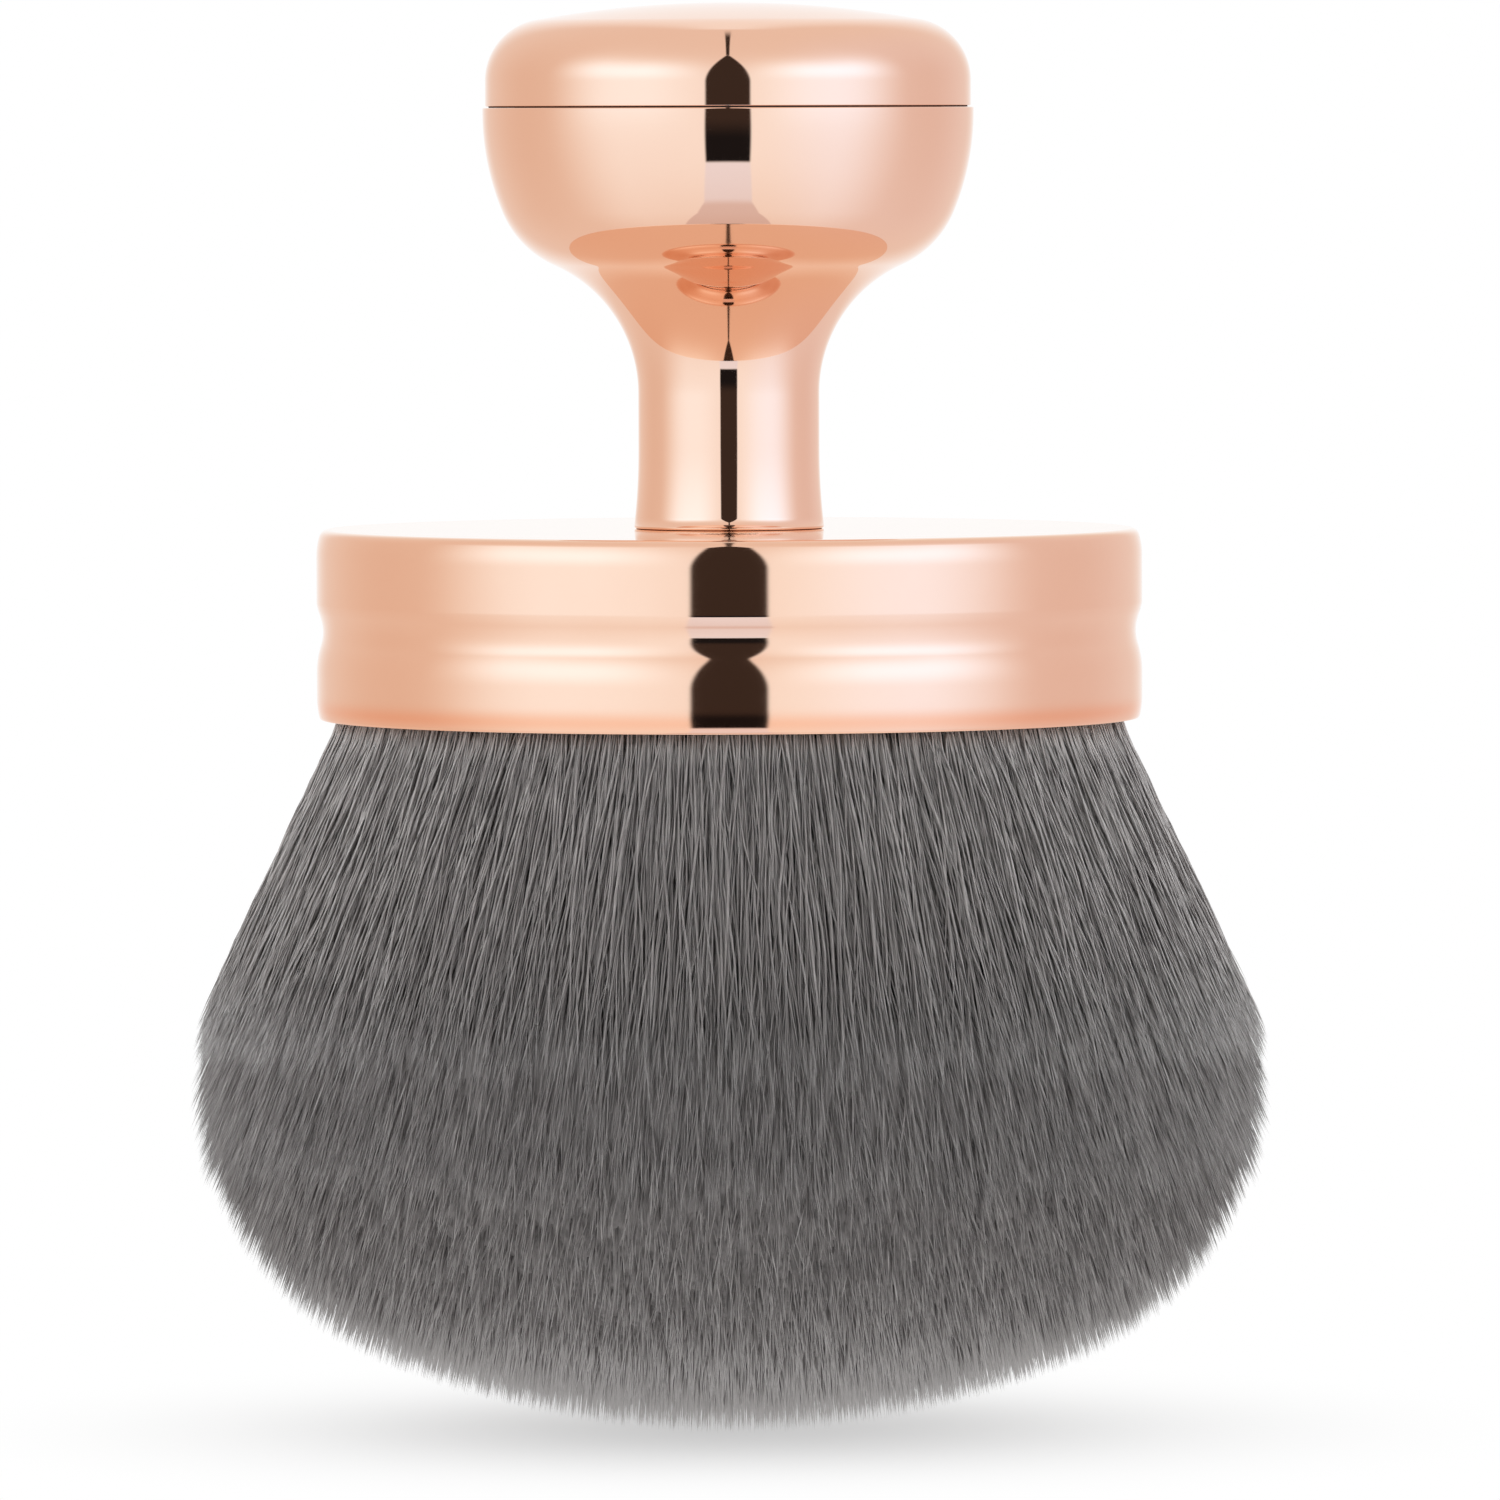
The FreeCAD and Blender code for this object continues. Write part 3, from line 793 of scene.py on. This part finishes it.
# painted light: roots paler than the greys, against the shade under the ferrule's lip
bristle_root_painted_light = (0.51, 0.49, 0.484, 1)
root_light_fade = (0.215, 0.33)
# painted shade: the outer bristles darken along this span of the map and stay so to their tips
painted_shade_span = (0.45, 0.8)             # the outer bristles darken from here to here, and stay so to their tips
painted_shade_share = 0.45
drift_scales = (500, 16, 1)     # the grey changes from lock to lock, and slowly along each bristle
bristle_roughness = 0.5
tip_gloss = 0.1                 # what a pale tip takes from it
bristle_shine = 0.4
side_glow = 0.7                 # share of the light that goes into a bristle and comes out again beside it
belly_glow = 0.3
glow_depth = 0.3
glow_tint = (1.0, 1.0, 1.0)     # every colour goes equally deep
side_greys = [(0.3, bristle_dark), (0.48, bristle_mid), (0.62, bristle_light), (0.74, bristle_bright)]
belly_greys = [
    (0.34, (0.136, 0.126, 0.123)),
    (0.45, (0.212, 0.195, 0.192)),
    (0.56, (0.315, 0.293, 0.289)),
    (0.68, (0.433, 0.408, 0.401)),
]
end_greys = [
    (0.35, (0.135, 0.125, 0.123)),
    (0.45, (0.206, 0.19, 0.186)),
    (0.55, (0.314, 0.292, 0.287)),
    (0.66, (0.458, 0.432, 0.423)),
]


def bristle_look(bench, greys, pale_from, painted_shade=0.0, glow=0.0):
    """Synthetic bristle: greys that differ from lock to lock and drift along it; paler roots are painted
    light, paler tips partly so.
    """
    strand = bench.node("ShaderNodeUVMap", {"uv_map": "OFBake"})
    reach = bench.part(strand, "Y")
    drift = bench.grain(strand, drift_scales, detail=1)
    grey = bench.node("ShaderNodeValToRGB", {"stops": greys}, {0: drift})
    # painted shade: outer bristles darken down their length
    grey = bench.mixed(reach.between(*painted_shade_span) * painted_shade, grey, (*bristle_dark, 1))
    # painted light: paler roots, standing in for light under the ferrule's lip
    grey = bench.mixed(1 - reach.between(*root_light_fade), grey, bristle_root_painted_light)
    # pale tips: partly the fibres' own thin ends, partly painted light from below
    pale = reach.between(pale_from, 1.0)
    return {
        "Base Color": bench.mixed(pale, grey, pale_tip_and_painted_light),
        "Roughness": bristle_roughness - pale * tip_gloss,
        "Specular IOR Level": bristle_shine,
        "Subsurface Weight": glow,
        "Subsurface Radius": glow_tint,
        "Subsurface Scale": glow_depth * MM,
    }


def grey_bristle(bench):
    """Sides of the long bristles, in near greys, darkened by painted shade down their length."""
    return bristle_look(bench, side_greys, side_pale_from, painted_shade_share, side_glow)


def grey_bristle_belly(bench):
    """Lower halves of the middle bristles, in wider greys."""
    return bristle_look(bench, belly_greys, side_pale_from, glow=belly_glow)


def grey_bristle_ends(bench):
    """Ends of the inner bristles, where light and dark ones stand side by side."""
    return bristle_look(bench, end_greys, end_pale_from)


def packed_bristles(bench):
    """Inside of the pack: dark streaks along the bristles."""
    return bench.grained(
        bench.grain(bench.place(), scales=(2200, 2200, 90), detail=3),
        colours=((0.15, 0.14, 0.137, 1), (0.28, 0.262, 0.257, 1)),
        contrast=(0.35, 0.7),
        roughness=(0.6, 0.2),
        relief=(0.6, 0.0002),
    )


def grey_felt(bench):
    """Pressed felt with short tangled fibres."""
    return bench.grained(
        bench.noise(scale=1800, detail=4),
        colours=((0.24, 0.235, 0.23, 1), (0.4, 0.39, 0.38, 1)),
        roughness=(0.9, 0.08),
        relief=(0.6, 0.0003),
    )


def turned_steel(bench):
    """Machined steel with fine turning marks."""
    return bench.grained(
        bench.grain(bench.place(), scales=(300, 300, 5000), detail=3),
        colours=((0.5, 0.5, 0.51, 1), (0.62, 0.62, 0.62, 1)),
        metallic=1.0,
        roughness=(0.28, 0.15),
        relief=(0.15, 0.0001),
    )


def insert_brass(bench):
    """Brass with a light tarnish."""
    return bench.grained(
        bench.noise(scale=600, detail=4),
        colours=((0.8, 0.6, 0.27, 1), (0.68, 0.48, 0.2, 1)),
        metallic=1.0,
        roughness=(0.25, 0.15),
    )


def moulded_plastic(bench):
    """Off-white moulded plastic with a fine spark texture."""
    return bench.grained(
        bench.noise(scale=2500),
        colours=((0.72, 0.71, 0.67, 1), (0.79, 0.78, 0.74, 1)),
        roughness=(0.5, 0.15),
        relief=(0.2, 0.0001),
    )


def cast_resin(bench):
    """Amber resin with cloudy swirls."""
    return bench.grained(
        bench.noise(scale=220, detail=4),
        colours=((0.5, 0.35, 0.14, 1), (0.68, 0.52, 0.26, 1)),
        contrast=(0.3, 0.7),
        roughness=(0.12, 0.12),
    )


def cured_adhesive(bench):
    """Dark cured adhesive, glossy and a little uneven."""
    return bench.grained(
        bench.noise(scale=700, detail=3),
        colours=((0.12, 0.1, 0.08, 1), (0.2, 0.17, 0.13, 1)),
        roughness=(0.2, 0.2),
        relief=(0.3, 0.0002),
    )


hidden_finishes = {
    "cap_adhesive_bead": cured_adhesive,
    "weight_pad": grey_felt,
    "balance_weight": turned_steel,
    "clamp_screw": turned_steel,
    "screw_washer": turned_steel,
    "threaded_insert": insert_brass,
    "ferrule_plug": moulded_plastic,
    "root_resin": cast_resin,
    "root_ring": moulded_plastic,
}


def dress_hidden_pieces():
    """Gives each solid inside the brush its own finish."""
    made = {make: finish_of(make.__name__, make) for make in hidden_finishes.values()}
    for node, make in hidden_finishes.items():
        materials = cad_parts[node].data.materials
        materials.clear()
        materials.append(made[make])


def dress_metal():
    """Plated cap and handle and the polished ferrule, each in place of its plain solid."""
    plate = finish_of("rose_gold_plate", rose_gold_plate)
    cap_plate = finish_of("plated_cap", plated_cap)
    polished = finish_of("rose_gold_ferrule", rose_gold_ferrule)
    for make, node, finish, slot in (
        (end_cap, "end_cap", cap_plate, "plated_plastic"),
        (handle_shell, "handle_shell", plate, "plated_plastic"),
        (ferrule, "ferrule", polished, "ferrule_metal"),
    ):
        piece = make()
        piece.data.materials.append(finish)
        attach(piece, "handle")
        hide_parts(node)


def dress_bristles():
    """Bristles and their packed bed, between the standing tips and the handle."""
    bristle = finish_of("grey_bristle", grey_bristle)
    belly = finish_of("grey_bristle_belly", grey_bristle_belly)
    ends = finish_of("grey_bristle_ends", grey_bristle_ends)
    packed = finish_of("packed_bristles", packed_bristles)
    bed = bristle_bed()
    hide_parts("bristle_core", "bristle_head")
    for finish, pieces in (
        (packed, [bed]),
        (bristle, long_bristles()),
        (belly, middle_bristles()),
        (ends, short_bristles()),
    ):
        for piece in pieces:
            piece.data.materials.append(finish)
            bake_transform(piece)


# Studio: white all round, a soft panel on each side in front and a dark gap between the panels. Angles are
# azimuth from the front and height above the horizon.
base_level = 0.765
panel_from, panel_full = 0.0, math.radians(42)
panel_wanes, panel_end = math.radians(62), math.radians(98)
panel_height, panel_tall = math.radians(17), math.radians(12)
panel_gain = 0.48
spill_height, spill_tall = math.radians(-12), math.radians(28)
spill_gain = 0.32
spill_wanes = math.radians(50)
side_azimuth, side_width = math.radians(112), math.radians(20)
side_tall = math.radians(25)
side_loss = 0.1
wing_start, wing_full = math.radians(58), math.radians(90)
wing_wanes, wing_end = math.radians(120), math.radians(170)
wing_gain = 0.5
sweep_start, sweep_full = math.radians(150), math.radians(178)
sweep_edge = (0.25, 0.35)       # how far behind the zenith the sweep begins, along Y
gap_half_width = math.radians(10.9)
gap_foot, gap_top = math.radians(-22), math.radians(48)
gap_arch = 3.0
gap_edge = math.radians(0.8)
gap_colour = (0.045, 0.032, 0.026, 1)
gap_low_colour = (0.012, 0.011, 0.012, 1)
gap_low = (math.radians(-12), math.radians(-2))
slit_half_width = 0.012
slit_edge = 0.004
slit_fade = (-0.1, 0.3)         # along Y, so that it runs out softly over the crown
strip_flare = 0.15
strip_tint = (-0.11, -0.065, 0.06)
skirt_top = math.radians(-40)
skirt_edge = math.radians(2)
skirt_flare = 0.9
skirt_loss = 0.24
mirror_warmth = 0.55
mirror_coolness = 0.37
right_side = (0.2, 0.9)         # along X
right_cool = (0.0, 0.05, 0.17)


def light_studio():
    """World light as a function of direction.

    An even level, two bell-shaped panels with their spill below, and a dip at each side, where soft wings
    light the matt bristles but aren't mirrored. An arched gap with a slit above it is taken out in front,
    over a duller strip. In the mirror plating brighter light is a little cooler. The white sweep shows to
    the camera, and to reflections that look behind the brush.
    """
    world = bpy.data.worlds.new("studio")
    bpy.context.scene.world = world
    world.use_nodes = True
    bench = Bench(world.node_tree)
    direction = bench.node("ShaderNodeTexCoord", out="Generated")
    x, y, z = (bench.part(direction, axis) for axis in "XYZ")
    camera, glossy, transmission = bench.rays()
    azimuth = x.maths("ARCTAN2", x.size(), 0 - y)
    height = x.maths("ARCSINE", z)
    front = 1 - azimuth.between(panel_wanes, panel_end)
    panel = front * azimuth.between(panel_from, panel_full) * height.bell(panel_height, panel_tall)
    spill = (1 - azimuth.between(spill_wanes, panel_end)) * height.bell(spill_height, spill_tall)
    side = azimuth.bell(side_azimuth, side_width) * height.bell(0, side_tall)
    wings = azimuth.between(wing_start, wing_full) * (1 - azimuth.between(wing_wanes, wing_end))
    wings = wings * (1 - glossy)
    level = base_level + panel * panel_gain + spill * spill_gain - side * side_loss + wings * wing_gain

    above_foot = height.between(gap_foot - gap_edge, gap_foot + gap_edge)
    rise = (height - gap_foot) / (gap_top - gap_foot)
    rise = x.maths("MINIMUM", x.maths("MAXIMUM", rise, 0.0), 1.0)
    arch = (1 - rise ** gap_arch) * gap_half_width
    gap = (1 - (azimuth - arch).between(-gap_edge, gap_edge)) * above_foot
    gap = gap * (1 - height.between(gap_top - gap_edge, gap_top))
    slit = 1 - x.size().between(slit_half_width - slit_edge, slit_half_width + slit_edge)
    slit = slit * height.between(gap_top - 2 * gap_edge, gap_top - gap_edge) * (1 - y.between(*slit_fade))
    flare = x.maths("MAXIMUM", gap_foot - height, 0.0) * strip_flare + gap_half_width
    flare = x.maths("MAXIMUM", skirt_top - height, 0.0) * skirt_flare + flare
    strip = (1 - (azimuth - flare).between(-gap_edge, gap_edge)) * (1 - above_foot)
    skirt = strip * (1 - height.between(skirt_top - skirt_edge, skirt_top + skirt_edge))
    level = level * (1 - skirt * glossy * skirt_loss)
    right = x.between(*right_side)
    power = (1 - glossy * mirror_warmth, 1.0, 1 + glossy * mirror_coolness)
    tints = [1 + glossy * (strip * stripe + right * cool) for stripe, cool in zip(strip_tint, right_cool)]
    red, green, blue = (level ** p * tint for p, tint in zip(power, tints))
    lit = bench.node("ShaderNodeCombineColor", {}, {0: red, 1: green, 2: blue})
    dark = bench.mixed(height.between(*gap_low), gap_low_colour, gap_colour)
    studio = bench.mixed(x.maths("MAXIMUM", gap, slit), lit, dark)
    behind = azimuth.between(sweep_start, sweep_full) * y.between(*sweep_edge)
    sweep = x.maths("MINIMUM", camera + (glossy + transmission) * behind, 1.0)
    light = bench.node("ShaderNodeBackground", {}, {"Color": bench.mixed(sweep, studio, (1, 1, 1, 1))})
    bench.node("ShaderNodeOutputWorld", {}, {"Surface": light})


table_radius = 66.0
table_turns = 96
shade_near, shade_far = 0.0, 60.0
shade_lift = 0.5                # share of white in the shadow's middle
board_shine = 0.2


def white_table():
    """Matt white board, with the brush's shadow near its middle and pure white towards its edge."""
    material = bpy.data.materials.new("white_table")
    material.use_nodes = True
    bench = Bench(material.node_tree)
    sockets = bench.grained(
        bench.noise(scale=60, detail=3),
        colours=((0.91, 0.91, 0.91, 1), (0.93, 0.93, 0.93, 1)),
        roughness=(0.7, 0.1),
    )
    sockets["Specular IOR Level"] = board_shine
    board = bench.node("ShaderNodeBsdfPrincipled", {}, sockets)
    camera, glossy, transmission = bench.rays()
    x, y = (bench.part(bench.place(), axis) for axis in "XY")
    away = (x * x + y * y) ** 0.5
    clear = shade_lift + away.between(shade_near * MM, shade_far * MM) * (1 - shade_lift)
    white = (camera + glossy + transmission) * clear
    plain = bench.node("ShaderNodeEmission", {}, {"Strength": 1.0})
    shown = bench.node("ShaderNodeMixShader", {}, {0: white, 1: board, 2: plain})
    bench.node("ShaderNodeOutputMaterial", {}, {"Surface": shown})
    return material


def lay_table(level):
    """Plain round white table under the tips, which lets soft light through so that they aren't dark."""
    turn = np.linspace(0, full_turn, table_turns, endpoint=False)
    rim = around_axis(np.full(table_turns, table_radius), turn, np.full(table_turns, level))
    table = new_piece("table", rim, [np.arange(table_turns)[None]])
    table.data.materials.append(white_table())
    table.visible_diffuse = False


# Camera, in millimetres and degrees: in front, near the height of the cap's seam, looking slightly down
eye_distance = 1024.0
eye_height = 92.3
aim_side = 1.42
aim_height = 47.0
roll_deg = -0.16
lens_mm = 350.0
sensor_mm = 36.0


def place_camera():
    """Camera at the photograph's angle."""
    data = bpy.data.cameras.new("camera")
    data.lens = lens_mm
    data.sensor_width = sensor_mm
    camera = bpy.data.objects.new("camera", data)
    bpy.context.scene.collection.objects.link(camera)
    eye = Vector((aim_side, -eye_distance, eye_height)) * MM
    aim = Vector((aim_side, 0, aim_height)) * MM
    looking = (aim - eye).to_track_quat("-Z", "Y").to_matrix()
    rolled = looking @ Euler((0, 0, math.radians(roll_deg))).to_matrix()
    camera.matrix_world = rolled.to_4x4()
    camera.location = eye
    bpy.context.scene.camera = camera


dress_hidden_pieces()
dress_metal()
dress_bristles()
light_studio()
place_camera()
bpy.context.view_layer.update()
low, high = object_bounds()
lay_table(low.z / MM)
bpy.context.scene.view_settings.view_transform = "Standard"
